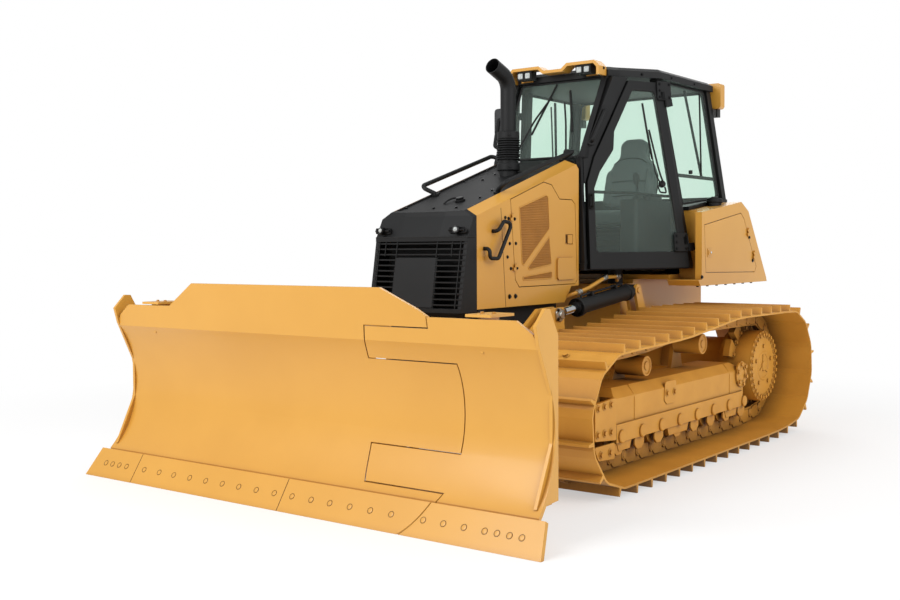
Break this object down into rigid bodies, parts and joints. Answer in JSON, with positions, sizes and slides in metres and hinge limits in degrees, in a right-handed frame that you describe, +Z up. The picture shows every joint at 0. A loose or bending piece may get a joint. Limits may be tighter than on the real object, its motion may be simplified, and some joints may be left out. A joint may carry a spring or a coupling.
{
  "type": "bulldozer",
  "caption": "Crawler tractor with an angling front blade on a C-shaped push frame, a closed glazed cab at the rear, sloping hood and folding blade end.",
  "frame": {"origin": "middle of the bounding box's underside, on the ground", "axes": "+X forward towards the blade, +Y to the machine's left, +Z up"},
  "size_m": [4.772, 3.36, 2.734],
  "materials": {
    "paint": "satin ochre-yellow machine paint",
    "dark_paint": "satin near-black paint",
    "rod_chrome": "polished chrome",
    "tinted_glass": "clear green-tinted glass",
    "lamp_glass": "clear lens",
    "seat_cover": "grey woven cover"
  },
  "bodies": {
    "machine": {"cab_base": "dark_paint", "cab_glass": "tinted_glass", "cab_posts": "dark_paint", "cab_roof": "dark_paint", "carrier_rollers": "paint", "consoles": "dark_paint", "drawbar": "paint", "engine_block": "dark_paint", "exhaust_stack": "dark_paint", "final_drives": "paint", "grille": "dark_paint", "handrails": "dark_paint", "hood": "dark_paint", "hood_sides": "paint", "idlers": "paint", "lamp_pods": "paint", "lamps": "lamp_glass", "main_frame": "paint", "nose_cap": "dark_paint", "radiator": "dark_paint", "rear_body": "paint", "seat": "seat_cover", "sprockets": "paint", "track_frame_left": "paint", "track_frame_right": "paint", "track_left": "paint", "track_right": "paint", "track_rollers": "paint"},
    "c_frame": {"c_frame": "paint"},
    "blade_pivot": {"blade_pivot": "paint"},
    "blade": {"blade": "paint", "cutting_edge": "paint"},
    "wing": {"blade_wing": "paint", "wing_cutting_edge": "paint"},
    "tilt_barrel": {"tilt_barrel": "paint"},
    "tilt_rod": {"tilt_rod": "rod_chrome"},
    "lift_left_barrel": {"lift_left_barrel": "dark_paint"},
    "lift_left_rod": {"lift_left_rod": "rod_chrome"},
    "angle_left_barrel": {"angle_left_barrel": "paint"},
    "angle_left_rod": {"angle_left_rod": "rod_chrome"},
    "cab_door_left": {"cab_door_left": "dark_paint", "door_glass_left": "tinted_glass"},
    "engine_door_left": {"engine_door_left": "paint"},
    "service_door_left": {"service_door_left": "paint"},
    "lift_right_barrel": {"lift_right_barrel": "dark_paint"},
    "lift_right_rod": {"lift_right_rod": "rod_chrome"},
    "angle_right_barrel": {"angle_right_barrel": "paint"},
    "angle_right_rod": {"angle_right_rod": "rod_chrome"},
    "cab_door_right": {"cab_door_right": "dark_paint", "door_glass_right": "tinted_glass"},
    "engine_door_right": {"engine_door_right": "paint"},
    "service_door_right": {"service_door_right": "paint"}
  },
  "joints": [
    {"name": "lift", "type": "hinge", "parent": "machine", "child": "c_frame", "pos_m": [-0.43, 0, 0.43], "axis": [0, 1, 0], "range_deg": [-20, 11.5]},
    {"name": "lift_left_swing", "type": "hinge", "parent": "machine", "child": "lift_left_barrel", "pos_m": [-0.7, 0.53, 1.09], "axis": [0, 1, 0], "range_deg": [-18, 11]},
    {"name": "lift_left_stroke", "type": "slide", "parent": "lift_left_barrel", "child": "lift_left_rod", "axis": [0.9939, 0, -0.1102], "range_m": [-0.25, 0.15]},
    {"name": "lift_right_swing", "type": "hinge", "parent": "machine", "child": "lift_right_barrel", "pos_m": [-0.7, -0.53, 1.09], "axis": [0, 1, 0], "range_deg": [-18, 11]},
    {"name": "lift_right_stroke", "type": "slide", "parent": "lift_right_barrel", "child": "lift_right_rod", "axis": [0.9939, 0, -0.1102], "range_m": [-0.25, 0.15]},
    {"name": "angle", "type": "hinge", "parent": "c_frame", "child": "blade_pivot", "pos_m": [1.65, 0, 0.4], "axis": [0, 0, 1], "range_deg": [-25, 25]},
    {"name": "angle_left_swing", "type": "hinge", "parent": "c_frame", "child": "angle_left_barrel", "pos_m": [1.11, 0.44, 0.6], "axis": [0, 0, 1], "range_deg": [-10, 10]},
    {"name": "angle_left_stroke", "type": "slide", "parent": "angle_left_barrel", "child": "angle_left_rod", "axis": [0.9996, -0.0275, 0], "range_m": [-0.2, 0.2]},
    {"name": "angle_right_swing", "type": "hinge", "parent": "c_frame", "child": "angle_right_barrel", "pos_m": [1.11, -0.44, 0.6], "axis": [0, 0, 1], "range_deg": [-10, 10]},
    {"name": "angle_right_stroke", "type": "slide", "parent": "angle_right_barrel", "child": "angle_right_rod", "axis": [0.9996, 0.0275, 0], "range_m": [-0.2, 0.2]},
    {"name": "tilt", "type": "hinge", "parent": "blade_pivot", "child": "blade", "pos_m": [1.99, 0, 0.43], "axis": [1, 0, 0], "range_deg": [-8, 8]},
    {"name": "tilt_swing", "type": "hinge", "parent": "blade_pivot", "child": "tilt_barrel", "pos_m": [1.99, -0.3, 0.88], "axis": [1, 0, 0], "range_deg": [-6, 6]},
    {"name": "tilt_stroke", "type": "slide", "parent": "tilt_barrel", "child": "tilt_rod", "axis": [0, 1, 0], "range_m": [-0.08, 0.08]},
    {"name": "wing_fold", "type": "hinge", "parent": "blade", "child": "wing", "pos_m": [2.078, 0.715, 0.5], "axis": [0, 0, -1], "range_deg": [0, 44]},
    {"name": "cab_door_left_swing", "type": "hinge", "parent": "machine", "child": "cab_door_left", "pos_m": [-1.10156, 0.80345, 1.25056], "axis": [0.1214, -0.1159, 0.9858], "range_deg": [0, 90]},
    {"name": "engine_door_left_swing", "type": "hinge", "parent": "machine", "child": "engine_door_left", "pos_m": [0.59198, 0.3695, 1.19759], "axis": [-0.1012, 0, -0.9949], "range_deg": [0, 100]},
    {"name": "service_door_left_swing", "type": "hinge", "parent": "machine", "child": "service_door_left", "pos_m": [-2.1133, 0.9075, 1.24226], "axis": [0.5647, 0, 0.8253], "range_deg": [0, 100]},
    {"name": "cab_door_right_swing", "type": "hinge", "parent": "machine", "child": "cab_door_right", "pos_m": [-1.10156, -0.80345, 1.25056], "axis": [-0.1214, -0.1159, -0.9858], "range_deg": [0, 90]},
    {"name": "engine_door_right_swing", "type": "hinge", "parent": "machine", "child": "engine_door_right", "pos_m": [0.59198, -0.3695, 1.19759], "axis": [0.1012, 0, 0.9949], "range_deg": [0, 100]},
    {"name": "service_door_right_swing", "type": "hinge", "parent": "machine", "child": "service_door_right", "pos_m": [-2.1133, -0.9075, 1.24226], "axis": [-0.5647, 0, -0.8253], "range_deg": [0, 100]}
  ],
  "couplings": [
    {"joint": "lift_left_swing", "follows": "lift", "ratio": 0.7194},
    {"joint": "lift_left_stroke", "follows": "lift", "m_per_rad": 0.6467},
    {"joint": "lift_right_swing", "follows": "lift", "ratio": 0.7194},
    {"joint": "lift_right_stroke", "follows": "lift", "m_per_rad": 0.6467},
    {"joint": "angle_left_swing", "follows": "angle", "ratio": 0.2291},
    {"joint": "angle_left_stroke", "follows": "angle", "m_per_rad": -0.4211},
    {"joint": "angle_right_swing", "follows": "angle", "ratio": 0.2291},
    {"joint": "angle_right_stroke", "follows": "angle", "m_per_rad": 0.4211},
    {"joint": "tilt_swing", "follows": "tilt", "ratio": 0.524},
    {"joint": "tilt_stroke", "follows": "tilt", "m_per_rad": -0.4498}
  ]
}
